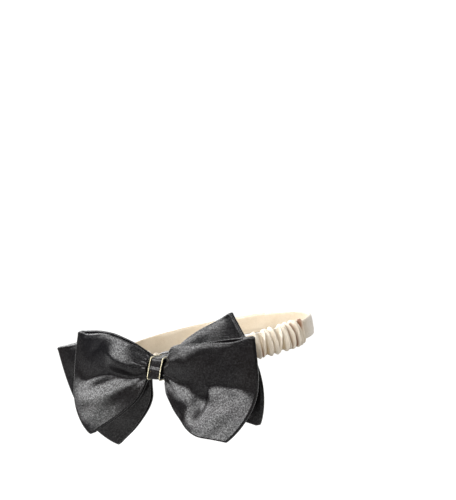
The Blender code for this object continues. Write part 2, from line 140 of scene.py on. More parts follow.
RELIEF_IN, RELIEF_OUT = 0.08, 0.16  # folds come and go over these shares of the way out
RELIEF_END = 1.02  # at the end fold a little of a fold is left
ROLL_WIDTH = 0.055  # of the rolled top edge, a share of half the width

# How full a loop is: its swell, and how that falls at the edges
LOOP_FULLNESS = 3.2 * MM
BACK_BOW_FULLNESS = 2.7 * MM
LOOP_BACK_FULLNESS = 2.0 * MM
FILLED_AT = 0.6  # share of the way out where it is full
END_FALL_POWER = 4  # its fullness stays until near the end
TOP_FALL, TOP_FALL_POWER = 0.12, 8
LOW_FALL = 0.15
FULLEST = 0.55  # the same for the layers behind it
EDGE_FALL = 0.7

# The foot of a front loop comes forward
FLARE = 13.5 * MM  # by this much over the flare's drop
FLARE_START, FLARE_RUN = 10.0 * MM, 32.0 * MM
FLARE_TOP, FLARE_DROP = -8.0 * MM, 30.0 * MM
RIGHT_FLARE_TILT = 0.2  # it starts lower further out
FLARE_PIVOT = 50.0 * MM  # and at FLARE_TOP this far out
FLARE_SOFTNESS = 0.2
FLARE_POWER, FLARE_MOST = 1.2, 2.0

# Small pleats that the knot presses into the cloth
PLEAT_DEPTH = 0.7 * MM
HIDDEN_PLEAT_DEPTH = 0.3 * MM
GATHER_DEPTH = 0.42 * PLEAT_DEPTH
GATHER_REACH, HIDDEN_GATHER_REACH = 13.0 * MM, 5.0 * MM
GATHER_END = 0.2  # they end over this last share of the way out
GRIPPED_SHARE = 0.55  # left of their depth inside the knot
KNOT_EDGE_RUN = 3.0 * MM
UNEVENNESS = 0.22 * MM  # of the satin at large

# Edges of the doubled cloth
EDGE_SWELL, EDGE_SWELL_RUN = 0.35, 1.3 * MM
EDGE_REACH = 0.45  # an edge stands out by this share of the cloth

# Knot
KNOT_WIDTH = 9.6 * MM
KNOT_HEIGHT = 13.4 * MM
KNOT_WALL = 1.2 * MM
KNOT_SLANT = 2.2 * MM  # sideways, from its foot to its top
KNOT_FRONT_BEND = -0.05  # where it starts to lean back, a share of half the height
KNOT_TOP_LEAN = 0.35 * WAIST_LEAN
KNOT_ROUNDING = 1.5 * KNOT_WALL
KNOT_CROWN = 0.25 * MM
KNOT_EDGE_ROUND = 0.1  # the sides turn in over this share of half the width
CREASE_UP, CREASE_SLANT = -0.4 * MM, -0.5 * MM
LIP_HEIGHT, LIP_WIDTH = 0.50 * MM, 0.9 * MM
HOLLOW_DEPTH, HOLLOW_UP, HOLLOW_WIDTH = 0.30 * MM, 1.9 * MM, 1.2 * MM
KNOT_WRINKLE = 0.03 * MM
KNOT_TURN_IN = 0.3 * KNOT_WALL
KNOT_INNER_DEPTH = 0.8 * KNOT_WALL
KNOT_INNER_WIDTH = 0.97  # the inner face is this much narrower
TRIM_RADIUS = 0.5 * MM
CORD_RADIUS = 0.40 * MM  # finer than the solid that stands for it
CORD_TWIST = 1.7 * MM  # length of one turn
STRAND_OFFSET, STRAND_RADIUS = 0.5, 0.56  # shares of the cord's radius
KEEPER_WALL = 1.2 * MM
KEEPER_CORNER = 1.8 * MM
KEEPER_FLATNESS, KEEPER_EDGE = 0.35, 0.6  # 1 for an oval section, less for a squarer one
CLEARANCE = 0.3 * MM

KNOT_BACK = (1.5 * LAYER_STEP + SOLID_CLOTH / 2 + HIDDEN_PLEAT_DEPTH + WAIST_LEAN + CLEARANCE
             + KNOT_WALL)
KNOT_FRONT = 1.5 * LAYER_STEP + SOLID_CLOTH / 2 + PLEAT_DEPTH + CLEARANCE + KNOT_WALL
WAIST_HALF_HEIGHT = KNOT_HEIGHT / 2 - KNOT_WALL - 2 * CLEARANCE
WAIST_HALF_LENGTH = KNOT_WIDTH / 2 + CLEARANCE + SOLID_CLOTH
WAIST_CORNER = math.hypot(WAIST_HALF_LENGTH + KNOT_SLANT, WAIST_HALF_HEIGHT)
KNOT_EDGE = 0.9 * WAIST_HALF_LENGTH
CASING_MIDDLE = NECK_RADIUS + RUCHED_THICKNESS / 2

# Mesh fineness
OUT_STEPS, BACK_OUT_STEPS = 84, 56
ACROSS_STEPS = 92
END_STEPS = 8
KNOT_CORNER_STEPS, KNOT_COLUMNS = 14, 41
CORD_STEPS, STRAND_SIDES = 620, 8
RUCHED_STEPS, RUCHED_SIDES = 1040, 72
PLAIN_STEPS, PLAIN_SIDES = 360, 48
KEEPER_STEPS, KEEPER_SIDES, KEEPER_CORNER_STEPS = 160, 28, 8

# Colours
BLACK_COOL, BLACK_WARM = (0.002, 0.002, 0.0028, 1), (0.0042, 0.0032, 0.003, 1)
# lighter colour for the painted glints
BLACK_GLINT = (0.012, 0.011, 0.014, 1)
CHAMPAGNE_DEEP, CHAMPAGNE_PALE = (0.67, 0.585, 0.47, 1), (0.73, 0.655, 0.545, 1)
# painted shade for the casing's valleys, and a warm dark painted shadow for its deepest folds
CHAMPAGNE_SHADE, CHAMPAGNE_PAINTED_SHADOW = (0.38, 0.27, 0.14, 1), (0.20, 0.075, 0.025, 1)
GOLD_DEEP, GOLD_PALE = (0.58, 0.50, 0.31, 1), (0.93, 0.88, 0.69, 1)
PAPER_DEEP, PAPER_PALE = (0.32, 0.32, 0.316, 1), (0.335, 0.335, 0.331, 1)
PAPER_IN_FRONT, PAPER_GLOW = (0.10, 0.10, 0.10, 1), (1.0, 1.0, 0.99, 1)

# Backdrop
FLOOR_BELOW = 0.45  # under the lowest point of the object
FLOOR_NEAR, FLOOR_FAR = -4.0, 2.6
BACKDROP_BEND, WALL_HEIGHT = 0.6, 3.0
BACKDROP_HALF_WIDTH = 3.5
BEND_STEPS = 16
FLOOR_FLAT = 0.7  # the bend's shading starts beyond this
WORLD_LIGHT = 0.08

SIDEWAYS = np.array([1.0, 0.0, 0.0])
knot_low, knot_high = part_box("knot_band")
SEAT = Vector(((knot_low.x + knot_high.x) / 2 - KNOT_SLANT / 2, knot_high.y - KNOT_BACK,
               (knot_low.z + knot_high.z) / 2))
NECK_TURN = (Matrix.Rotation(-math.radians(COLLAR_SIDE_TILT), 4, "Y")
             @ Matrix.Rotation(math.radians(COLLAR_FORWARD_TILT), 4, "X"))

# A loop's outline: a row for each section from the waist outwards, in shares of the bow's
# reach (out) and rise (up), at the top and the lower edge.
Section = namedtuple("Section", "at top_out top_up low_out low_up")

FRONT_LEFT_OUTLINE = (
    Section(0.10, 0.095, 0.24, 0.105, -0.30),
    Section(0.25, 0.225, 0.43, 0.165, -0.56),
    Section(0.45, 0.415, 0.56, 0.300, -0.86),
    Section(0.70, 0.630, 0.60, 0.460, -1.13),
    Section(1.00, 0.845, 0.56, 0.575, -1.31),
)
FRONT_RIGHT_OUTLINE = (
    Section(0.10, 0.135, 0.27, 0.102, -0.30),
    Section(0.25, 0.210, 0.47, 0.150, -0.52),
    Section(0.45, 0.445, 0.54, 0.280, -0.84),
    Section(0.70, 0.690, 0.65, 0.470, -1.10),
    Section(1.00, 0.965, 0.74, 0.790, -1.22),
)
BACK_LEFT_OUTLINE = (
    Section(0.10, 0.095, 0.18, 0.102, -0.34),
    Section(0.25, 0.260, 0.27, 0.130, -0.62),
    Section(0.45, 0.530, 0.29, 0.215, -0.92),
    Section(0.70, 0.850, 0.27, 0.340, -1.24),
    Section(1.00, 1.165, 0.10, 0.510, -1.57),
)
BACK_RIGHT_OUTLINE = (
    Section(0.10, 0.130, 0.27, 0.105, -0.24),
    Section(0.25, 0.190, 0.44, 0.220, -0.40),
    Section(0.45, 0.300, 0.63, 0.400, -0.62),
    Section(0.70, 0.440, 0.82, 0.630, -0.83),
    Section(1.00, 0.610, 1.03, 0.870, -0.97),
)

# Folds of a layer, in millimetres: height towards the viewer (negative for a hollow), the
# widths of its flanks above and below, how much of its length fades in and out, and its
# line as places (outward, upward) from the middle of the knot.
Crease = namedtuple("Crease", "height above below fade_in fade_out line")

FRONT_LEFT_CREASES = (
    Crease(-3.0, 5.5, 5.0, 0.08, 0.25, ((5, -2.4), (16, -4.5), (24, -7.3), (36, -12), (47, -17), (56, -20))),
    Crease(-1.9, 5.0, 3.2, 0.30, 0.30, ((20, -2.5), (28, -4), (36, -5.5), (46, -9), (53, -13), (58, -19))),
    Crease(5.0, 10.0, 5.0, 0.05, 0.25, ((5, -1), (10, -0.8), (17, 0), (24, 1.6), (31, 4.5))),
    Crease(1.7, 7.0, 3.5, 0.25, 0.30, ((11, 1.5), (17, 3), (24, 5), (31, 8.5))),
    Crease(0.9, 2.4, 1.6, 0.10, 0.40, ((5.5, -1.2), (7.7, 0), (11.4, 3.3), (16.2, 5.5), (22, 5.0))),
)
FRONT_RIGHT_CREASES = (
    Crease(-2.9, 8.0, 7.0, 0.06, 0.20, ((5, -1.5), (10, -2.2), (14, -3.2), (18, -6), (22.5, -8.8),
                                       (27.5, -10.5), (31.5, -13), (33.5, -17.5), (32, -23), (30, -27))),
    Crease(-1.8, 8.0, 5.0, 0.25, 0.15, ((30, -12), (35, -9.5), (40, -7.5), (47, -6.5),
                                        (56, -7.5), (66, -9))),
    Crease(4.6, 9.0, 6.0, 0.05, 0.35, ((5, -1.5), (9, 1.0), (13, 3.6), (20, 6), (29, 8))),
    Crease(-3.5, 3.5, 6.0, 0.30, 0.30, ((34, -10), (36.5, -15), (36, -20), (33.5, -25), (31, -29))),
    Crease(0.5, 1.6, 1.4, 0.20, 0.30, ((5.5, -3.8), (10, -3.9), (13.5, -4.6), (14.5, -8))),
    Crease(1.0, 2.6, 1.6, 0.10, 0.40, ((5, -2.6), (6.5, -1.5), (9.9, 2.6), (13.2, 4.6), (20.6, 8.1))),
    Crease(0.6, 2.4, 3.0, 0.40, 0.40, ((16, -22), (20, -25), (24, -29))),
)
BACK_LEFT_CREASES = (
    Crease(-1.6, 4.0, 4.0, 0.10, 0.50, ((8, -2), (30, -6), (60, -10))),
    Crease(1.0, 6.0, 6.0, 0.30, 0.40, ((12, -12), (26, -26), (38, -44))),
    Crease(0.8, 5.0, 5.0, 0.30, 0.40, ((20, 3), (45, 3), (75, 0))),
)
BACK_RIGHT_CREASES = (
    Crease(1.2, 4.0, 6.0, 0.30, 0.30, ((12, 10), (24, 19), (38, 28), (46, 30))),
    Crease(-1.6, 4.0, 4.0, 0.10, 0.50, ((8, 2), (24, 6), (44, 8))),
    Crease(1.0, 5.0, 5.0, 0.30, 0.40, ((16, -6), (36, -15), (58, -26))),
)
REAR_CREASES = (
    Crease(1.2, 3.0, 4.0, 0.10, 0.60, ((7, 2), (22, 7), (42, 12))),
    Crease(-1.2, 3.0, 3.0, 0.10, 0.60, ((7, -1), (22, -3), (44, -4))),
    Crease(1.2, 4.0, 3.0, 0.10, 0.60, ((7, -4), (18, -12), (34, -24))),
)

# Gathers of the casing beside the bow: the place along the loop from the knot, how far the
# lower end lies beyond the upper one and the width of a flank are in millimetres, and the
# height (tall) is a share of the full one.
Ruche = namedtuple("Ruche", "place lean tall width")

SHOWN_RUCHES = (
    Ruche(59.4, 1.1, 0.90, 3.0),
    Ruche(63.9, -3.0, 0.72, 2.4),
    Ruche(67.9, 1.2, 0.92, 3.0),
    Ruche(72.0, 2.2, 1.00, 3.2),
    Ruche(76.4, -4.2, 0.74, 2.6),
    Ruche(80.6, 2.2, 0.92, 2.8),
    Ruche(82.9, 2.8, 0.66, 1.8),
    Ruche(86.2, 3.2, 1.00, 2.4),
    Ruche(91.9, 2.8, 0.98, 2.5),
    Ruche(95.0, 4.2, 0.80, 2.0),
)

# Painted shadow lines in the casing's valleys, in millimetres like the gathers; the strength
# fades by this much from the middle to the top.
Shadow = namedtuple("Shadow", "place lean width strength fade")

VALLEY_SHADOWS = (
    Shadow(89.1, 1.5, 1.9, 1.0, 0.2),
    Shadow(84.7, 1.6, 0.9, 0.5, 0.0),
)
FOOT_SHADOW = Shadow(61.0, 0.0, 1.6, 1.0, 0.0)
FOOT_SHADOW_TOP = 0.1  # it fades in below this share of half the height

# Waves over an angle (pace in turns of the sine for each turn of it)
Wave = namedtuple("Wave", "size pace phase")

GATHER_WAVES = (Wave(1.0, 9.0, 0.6), Wave(0.7, 15.0, 2.1), Wave(0.4, 24.0, 0.3))
BAND_DRIFT = 0.35  # radians for each millimetre upward
BAND_WAVES = (Wave(0.18 * MM, 9.0, 0.0), Wave(0.12 * MM, 23.0, 1.0))

# Waves over a loop's plane, in radians for each millimetre outward and upward; the layer's
# sign times the shift adds to the phase.
PlaneWave = namedtuple("PlaneWave", "size outward upward phase shift")

UNEVEN_WAVES = (
    PlaneWave(1.0, 0.21, 0.13, 0.0, 1.0),
    PlaneWave(1.0, -0.11, 0.27, 1.7, 0.0),
    PlaneWave(0.6, 0.37, -0.31, 0.4, 0.0),
)

# Softboxes look at the knot: degrees round it and up, metres away, size in metres, watts
Softbox = namedtuple("Softbox", "name azimuth elevation distance size power")

SOFTBOXES = (
    Softbox("key_softbox_0", -30, 34, 1.30, (3.9, 1.10), 43.0),
    Softbox("key_softbox_1", -30, 34, 1.29, (3.3, 0.72), 15.0),
    Softbox("key_softbox_2", -30, 34, 1.28, (2.4, 0.36), 7.0),
    Softbox("side_softbox", 82, 38, 1.2, (0.5, 0.8), 6.0),
    Softbox("left_softbox", -118, 24, 1.3, (1.2, 1.0), 16.0),
    Softbox("top_softbox", 28, 96, 1.3, (1.6, 1.0), 3.0),
)

Loop = namedtuple("Loop", "side outline creases bulge flare_tilt")
Bow = namedtuple("Bow", "reach rise setback waist_depth front_fullness flare roll lens loops")

FRONT_BOW = Bow(FRONT_REACH, FRONT_RISE, FRONT_BOW_SETBACK, -1.5 * LAYER_STEP, LOOP_FULLNESS,
                FLARE, 0.4 * MM, 1.8 * MM,
                (Loop(1, FRONT_RIGHT_OUTLINE, FRONT_RIGHT_CREASES, 0.27, RIGHT_FLARE_TILT),
                 Loop(-1, FRONT_LEFT_OUTLINE, FRONT_LEFT_CREASES, 0.36, 0.0)))
BACK_BOW = Bow(BACK_REACH, BACK_RISE, BACK_BOW_SETBACK, 0.5 * LAYER_STEP, BACK_BOW_FULLNESS,
               0.0, 0.6 * MM, 0.6 * MM,
               (Loop(1, BACK_RIGHT_OUTLINE, BACK_RIGHT_CREASES, 0.26, 0.0),
                Loop(-1, BACK_LEFT_OUTLINE, BACK_LEFT_CREASES, 0.30, 0.0)))


def smoothstep(x):
    x = np.clip(x, 0.0, 1.0)
    return x * x * (3.0 - 2.0 * x)


def unit(vectors):
    """The same directions with a length of 1."""
    return vectors / np.linalg.norm(vectors, axis=-1, keepdims=True)


def directions(path):
    """The direction of a closed path at each of its points."""
    return unit(np.roll(path, -1, 0) - np.roll(path, 1, 0))


def signed_power(value, power):
    """A power that keeps the sign; below 1 it makes a round section squarer."""
    return np.sign(value) * np.abs(value) ** power


def rise_and_fall(x, start, peak, end):
    """0 at start, 1 at peak and 0 at end, with soft shoulders."""
    return np.where(x <= peak, smoothstep((x - start) / (peak - start)),
                    smoothstep((end - x) / (end - peak)))


def read_curve(places, values, at):
    """A smooth curve through values at places, read at many places at once."""
    places, values = np.asarray(places, float), np.asarray(values, float)
    slopes = np.empty_like(values)
    slopes[1:-1] = (values[2:] - values[:-2]) / (places[2:] - places[:-2])
    slopes[0] = (values[1] - values[0]) / (places[1] - places[0])
    slopes[-1] = (values[-1] - values[-2]) / (places[-1] - places[-2])
    index = np.clip(np.searchsorted(places, at, side="right") - 1, 0, len(places) - 2)
    span = places[index + 1] - places[index]
    t = (at - places[index]) / span
    return ((2 * t ** 3 - 3 * t ** 2 + 1) * values[index]
            + (t ** 3 - 2 * t ** 2 + t) * span * slopes[index]
            + (3 * t ** 2 - 2 * t ** 3) * values[index + 1]
            + (t ** 3 - t ** 2) * span * slopes[index + 1])


def smooth_line(points, steps_each=8):
    """Points read from a smooth curve through a few points."""
    points = np.asarray(points, float)
    places = np.arange(len(points))
    at = np.linspace(0, len(points) - 1, (len(points) - 1) * steps_each + 1)
    return np.stack([read_curve(places, points[:, axis], at) for axis in range(points.shape[1])], -1)


def crease_height(crease, place):
    """How far a fold stands out at places (..., 2), in metres: a soft brush drawn along its line."""
    line = smooth_line(crease.line) * MM
    middle, run = (line[1:] + line[:-1]) / 2, np.diff(line, axis=0)
    length = np.linalg.norm(run, axis=1)
    along = run / length[:, None]
    share = (np.cumsum(length) - length / 2) / length.sum()
    fade = smoothstep(share / crease.fade_in) * smoothstep((1 - share) / crease.fade_out)
    gap = place[..., None, :] - middle
    aside = along[:, 0] * gap[..., 1] - along[:, 1] * gap[..., 0]
    above, below = crease.above * MM, crease.below * MM
    width = below + (above - below) * smoothstep(0.5 + aside / (above + below))
    brush = np.exp(-np.sum(gap ** 2, -1) / width ** 2) / (width * math.sqrt(math.pi))
    return crease.height * MM * np.sum(brush * length * fade, -1)


def outline_places(bow, loop, at, across):
    """Places (outward, upward) in the bow's plane and the outward directions there."""
    up = WAIST_HALF_HEIGHT / bow.rise
    waist = Section(0.0, (WAIST_HALF_LENGTH + loop.side * KNOT_SLANT) / bow.reach, up,
                    WAIST_HALF_LENGTH / bow.reach, -up)
    rows = (waist,) + loop.outline
    places = [row.at for row in rows]
    scale = np.array([bow.reach, bow.rise])

    def edge_line(out, upward):
        return np.stack([read_curve(places, [getattr(row, column) for row in rows], at)
                         for column in (out, upward)], -1) * scale

    top = edge_line("top_out", "top_up")[:, None]
    low = edge_line("low_out", "low_up")[:, None]
    edge = top - low
    outward = unit(np.stack([edge[..., 1], -edge[..., 0]], -1))
    share = ((across + 1) / 2)[:, None]
    swell = loop.bulge * bow.rise * at[:, None, None] ** 2 * np.sin(np.pi * share ** END_SWELL_SKEW)
    place = low + edge * share + outward * swell
    return place, np.broadcast_to(outward, place.shape)


def gathers(place, shown):
    """Small pleats that fan out from the knot and die away."""
    distance = np.linalg.norm(place, axis=-1)
    angle = np.arctan2(place[..., 1], place[..., 0])
    depth = GATHER_DEPTH if shown else HIDDEN_PLEAT_DEPTH
    reach = GATHER_REACH if shown else HIDDEN_GATHER_REACH
    near = np.exp(-np.maximum(distance - WAIST_CORNER, 0) / reach)
    free = smoothstep((distance - KNOT_EDGE) / KNOT_EDGE_RUN)
    height = sum(wave.size * np.sin(angle * wave.pace + wave.phase) for wave in GATHER_WAVES)
    return depth * (GRIPPED_SHARE + (1 - GRIPPED_SHARE) * free) * near * height


def soft_unevenness(place, side, layer):
    """Long shallow waves that keep the satin from looking drawn with a ruler."""
    x, z = place[..., 0] / MM * side, place[..., 1] / MM
    return UNEVENNESS * sum(
        wave.size * np.sin(x * wave.outward + z * wave.upward + wave.phase + wave.shift * layer)
        for wave in UNEVEN_WAVES)


def flare_depth(bow, loop, place):
    """How far a loop's foot comes forward, from a soft start below a line."""
    flared = smoothstep((place[..., 0] - FLARE_START) / FLARE_RUN)
    onset = FLARE_TOP - loop.flare_tilt * (place[..., 0] - FLARE_PIVOT)
    dropped = (onset - place[..., 1]) / FLARE_DROP
    dropped = (dropped + np.hypot(dropped, FLARE_SOFTNESS)) / 2 - FLARE_SOFTNESS ** 2 / 4
    return bow.flare * flared * np.clip(dropped, 0, FLARE_MOST) ** FLARE_POWER


def swell_depth(bow, at, across, layer):
    """How far a layer of an open loop swells from its middle plane."""
    if layer < 0 and bow.flare:
        fall = np.where(across > 0, TOP_FALL * across ** TOP_FALL_POWER, LOW_FALL * across ** 2)
        return (bow.front_fullness * smoothstep(at / FILLED_AT) * (1 - at ** END_FALL_POWER)
                * (1 - fall))
    fullness = bow.front_fullness if layer < 0 else LOOP_BACK_FULLNESS
    return fullness * rise_and_fall(at, 0.0, FULLEST, 1.0) * (1 - EDGE_FALL * across ** 2)


def loop_layer(bow, loop, at, across, layer):
    """Points of one layer of a loop (-1 front, 1 back), and the outward directions."""
    place, outward = outline_places(bow, loop, at, across)
    at = at[:, None]
    if layer < 0:
        dip = rise_and_fall(at, *LENS_SPAN) * smoothstep((across - LENS_FROM) / (1 - LENS_FROM))
        place = place - np.stack([np.zeros_like(dip), bow.lens * dip], -1)
    beyond = np.maximum(np.linalg.norm(place, axis=-1) - WAIST_CORNER, 0)
    opening = np.sqrt(smoothstep(beyond / (OPENING_RUN * bow.reach)))
    depth = bow.waist_depth + LAYER_STEP / 2 + bow.setback * opening
    depth = depth + beyond * math.tan(math.radians(BOW_SWEEP))
    risen = np.clip(place[..., 1] / WAIST_HALF_HEIGHT, 0, 1)
    risen = (1 - LEAN_EVENNESS) * smoothstep(risen) + LEAN_EVENNESS * risen
    depth += WAIST_LEAN * smoothstep(1 - beyond / LEAN_RUN) * risen
    depth -= flare_depth(bow, loop, place)
    shut = LAYER_STEP / 2 + (END_FOLD_RADIUS - LAYER_STEP / 2) * smoothstep(at / SHUT_RUN)
    depth += layer * (shut + swell_depth(bow, at, across, layer))
    shown = layer < 0 and bow is FRONT_BOW
    depth += gathers(place, shown) * smoothstep((1 - at) / GATHER_END)
    free = smoothstep(at / RELIEF_IN) * smoothstep((RELIEF_END - at) / RELIEF_OUT)
    creases = loop.creases if layer < 0 else REAR_CREASES
    relief = sum(crease_height(crease, place) for crease in creases)
    depth += layer * (relief + soft_unevenness(place, loop.side, layer)) * free
    if layer < 0:
        depth += bow.roll * np.exp(-((1 - across) / ROLL_WIDTH) ** 2) * free
    points = np.stack([loop.side * place[..., 0], depth, place[..., 1]], -1)
    outward3 = np.stack([loop.side * outward[..., 0], np.zeros_like(depth), outward[..., 1]], -1)
    return points, outward3


def loop_surface(bow, loop, across):
    """A loop's sheet from the waist out along the front, round the end and back."""
    front, outward = loop_layer(bow, loop, np.linspace(0, 1, OUT_STEPS + 1), across, -1)
    back, _ = loop_layer(bow, loop, np.linspace(0, 1, BACK_OUT_STEPS + 1), across, 1)
    centre, half = (front[-1] + back[-1]) / 2, (front[-1] - back[-1]) / 2
    radius = np.linalg.norm(half, axis=-1, keepdims=True)
    turns = [math.pi * step / (END_STEPS + 1) for step in range(1, END_STEPS + 1)]
    end = np.stack([centre + half * math.cos(turn) + outward[-1] * radius * math.sin(turn)
                    for turn in turns])
    return np.concatenate([front, end, back[::-1]])


def grid_normals(grid, closed):
    """Unit normals of a grid (along, across, 3)."""
    if closed:
        along = np.roll(grid, -1, 0) - np.roll(grid, 1, 0)
    else:
        along = np.gradient(grid, axis=0)
    across = np.gradient(grid, axis=1)
    normal = np.cross(along, across)
    return normal / np.maximum(np.linalg.norm(normal, axis=-1, keepdims=True), 1e-12)


def make_object(name, verts, faces, material, uvs=None, masks=None):
    """A smooth-shaded mesh object, with a UV in metres for each vertex and named masks."""
    mesh = bpy.data.meshes.new(name)
    mesh.from_pydata([tuple(vert) for vert in verts], [], [tuple(face) for face in faces])
    if uvs is not None:
        layer = mesh.uv_layers.new(name="cloth")
        loops = np.zeros(len(mesh.loops), np.int32)
        mesh.loops.foreach_get("vertex_index", loops)
        layer.data.foreach_set("uv", np.asarray(uvs, np.float32)[loops].ravel())
    for key, values in (masks or {}).items():
        attribute = mesh.attributes.new(key, "FLOAT", "POINT")
        attribute.data.foreach_set("value", np.asarray(values, np.float32).ravel())
    mesh.shade_smooth()
    mesh.materials.append(material)
    obj = bpy.data.objects.new(name, mesh)
    bpy.context.scene.collection.objects.link(obj)
    return obj


def grid_uvs(u, v):
    """A UV in metres for each point of a grid, row by row."""
    return np.stack(np.meshgrid(u, v, indexing="ij"), -1).reshape(-1, 2)


def quads(rows, columns, close_rows, close_columns):
    """Faces of a grid stored row by row."""
    r, c = np.meshgrid(np.arange(rows if close_rows else rows - 1),
                       np.arange(columns if close_columns else columns - 1), indexing="ij")
    r, c = r.ravel(), c.ravel()
    r2, c2 = (r + 1) % rows, (c + 1) % columns
    return np.stack([r * columns + c, r2 * columns + c, r2 * columns + c2, r * columns + c2], -1)


def ring_object(name, ring, material, uvs):
    """An object from a grid that is closed both ways."""
    faces = quads(*ring.shape[:2], True, True)
    return make_object(name, ring.reshape(-1, 3), faces, material, uvs)


def cloth_length(grid, axis):
    """Length along one axis of a grid up to each point."""
    step = np.linalg.norm(np.diff(grid, axis=axis), axis=-1)
    before = np.zeros_like(np.take(step, [0], axis))
    return np.concatenate([before, np.cumsum(step, axis)], axis)


def band_object(name, grid, thickness, material):
    """A closed band of doubled cloth: both faces and rounded, slightly fuller edges."""
    normal = grid_normals(grid, True)
    edge_gap = cloth_length(grid, 1)
    edge_gap = np.minimum(edge_gap, edge_gap[:, -1:] - edge_gap)
    fuller = EDGE_SWELL * np.exp(-(edge_gap / EDGE_SWELL_RUN) ** 2)
    half = (thickness / 2) * (1 + fuller)[..., None]
    outer, inner = grid + normal * half, grid - normal * half

    def rounded_edge(edge, neighbour):
        return (edge + unit(edge - neighbour) * thickness * EDGE_REACH)[:, None]

    low_edge = rounded_edge(grid[:, 0], grid[:, 1])
    top_edge = rounded_edge(grid[:, -1], grid[:, -2])
    ring = np.concatenate([outer, top_edge, inner[:, ::-1], low_edge], 1)
    u = cloth_length(grid, 0).mean(1)
    v = cloth_length(grid, 1).mean(0)
    v_ring = np.concatenate([v, [v[-1]], v[::-1], [v[0]]])
    return ring_object(name, ring, material, grid_uvs(u, v_ring))


def build_bow(name, bow, material):
    """A bow: one closed band of cloth that runs out and back through both loops."""
    across = np.linspace(-1, 1, ACROSS_STEPS + 1)
    right, left = (loop_surface(bow, loop, across) for loop in bow.loops)
    grid = np.concatenate([right, left[::-1]])
    obj = band_object(name, grid, CLOTH, material)
    obj.location = SEAT
    return obj, grid


def knot_wrap(offset):
    """The knot's closed outline round the waist, as (sideways, depth, up) points."""
    half = KNOT_HEIGHT / 2
    corners = np.array([
        (-KNOT_FRONT, -half), (-KNOT_FRONT, KNOT_FRONT_BEND * half),
        (-KNOT_FRONT + KNOT_TOP_LEAN, half), (KNOT_BACK, half), (KNOT_BACK, -half)])

    def towards(start, end):
        return start + unit(end - start) * KNOT_ROUNDING

    points = []
    for index, corner in enumerate(corners):
        following = corners[(index + 1) % len(corners)]
        start, end = towards(corner, corners[index - 1]), towards(corner, following)
        next_start = towards(following, corner)
        for t in np.linspace(0, 1, KNOT_CORNER_STEPS, endpoint=False):
            points.append(start * (1 - t) ** 2 + corner * 2 * t * (1 - t) + end * t ** 2)
        for t in np.linspace(0, 1, KNOT_CORNER_STEPS, endpoint=False):
            points.append(end + (next_start - end) * t)
    points = np.array(points)
    along = directions(points)
    outward = np.stack([along[:, 1], -along[:, 0]], -1)
    if np.sum(outward * (points - points.mean(0))) < 0:
        outward = -outward
    moved = points + outward * offset
    slant = KNOT_SLANT * (moved[:, 1] + half) / (2 * half)
    return (np.stack([slant, moved[:, 0], moved[:, 1]], -1),
            np.stack([np.zeros(len(moved)), outward[:, 0], outward[:, 1]], -1))


def build_knot(material):
    """The band round the waist, with a crease across its front and turned side edges."""
    outer, outward = knot_wrap(0.0)
    widths = np.linspace(-1, 1, KNOT_COLUMNS)
    turned = np.clip((np.abs(widths) - (1 - KNOT_EDGE_ROUND)) / KNOT_EDGE_ROUND, 0, 1)
    turned_in = KNOT_TURN_IN * (1 - np.sqrt(1 - turned ** 2))
    crown = KNOT_CROWN * (1 - widths ** 2)
    front = smoothstep((-outer[:, 1] - 0.5 * MM) / (2 * MM))
    up = outer[:, 2][:, None]
    gap = up - (CREASE_UP + CREASE_SLANT * widths)
    lip = (LIP_HEIGHT * np.exp(-(gap / LIP_WIDTH) ** 2)
           - HOLLOW_DEPTH * np.exp(-((gap - HOLLOW_UP) / HOLLOW_WIDTH) ** 2))
    wrinkles = KNOT_WRINKLE * np.sin(widths * 7 + up / MM * 0.9)
    height = crown + front[:, None] * (lip + wrinkles) - turned_in
    sideways = SIDEWAYS * (KNOT_WIDTH / 2)
    shell = (outer[:, None] + outward[:, None] * height[..., None]
             + sideways * widths[:, None])
    inner = (outer[:, None] - outward[:, None] * KNOT_INNER_DEPTH
             + sideways * (widths[::-1] * KNOT_INNER_WIDTH)[:, None])
    ring = np.concatenate([shell, inner], 1)
    u = cloth_length(ring, 0).mean(1)
    v = np.concatenate([(widths + 1) / 2, (widths[::-1] + 1) / 2]) * KNOT_WIDTH
    obj = ring_object("knot_wrap", ring, material, grid_uvs(u, v))
    obj.location = SEAT
    return obj, ring


def tube(path, radius, sides, sideways):
    """Rings of a round tube along a closed path (n, 3), with a reference direction (n, 3)."""
    along = directions(path)
    first = unit(sideways - along * np.sum(sideways * along, -1, keepdims=True))
    second = np.cross(along, first)
    angle = np.linspace(0, 2 * math.pi, sides, endpoint=False)[:, None]
    return path[:, None] + radius * (first[:, None] * np.cos(angle) + second[:, None] * np.sin(angle))


def resample(path, count):
    """The same closed path with its points equally spaced, and its length."""
    closed = np.concatenate([path, path[:1]])
    length = np.concatenate([[0], np.cumsum(np.linalg.norm(np.diff(closed, axis=0), axis=1))])
    at = np.linspace(0, length[-1], count, endpoint=False)
    return np.stack([np.interp(at, length, places) for places in closed.T], -1), length[-1]


def build_cord(name, side, material):
    """Two strands of metallic thread twisted together, laid round one edge of the knot."""
    path, _ = knot_wrap(CORD_RADIUS + CLEARANCE / 2)
    path = path + side * (KNOT_WIDTH / 2 - TRIM_RADIUS) * SIDEWAYS
    path, length = resample(path, CORD_STEPS)
    along = directions(path)
    across = unit(SIDEWAYS - along * along[:, :1])
    outward = np.cross(along, across)
    turns = round(length / CORD_TWIST)
    phase = np.linspace(0, 2 * math.pi * turns, len(path), endpoint=False)[:, None]
    rings, faces = [], []
    for strand in (0, 1):
        spin = phase + math.pi * strand
        aside = across * np.cos(spin) + outward * np.sin(spin)
        line = path + aside * CORD_RADIUS * STRAND_OFFSET
        ring = tube(line, CORD_RADIUS * STRAND_RADIUS, STRAND_SIDES, aside)
        faces.append(quads(len(path), STRAND_SIDES, True, True) + strand * len(path) * STRAND_SIDES)
        rings.append(ring.reshape(-1, 3))
    obj = make_object(name, np.concatenate(rings), np.concatenate(faces), material)
    obj.location = SEAT
    return obj


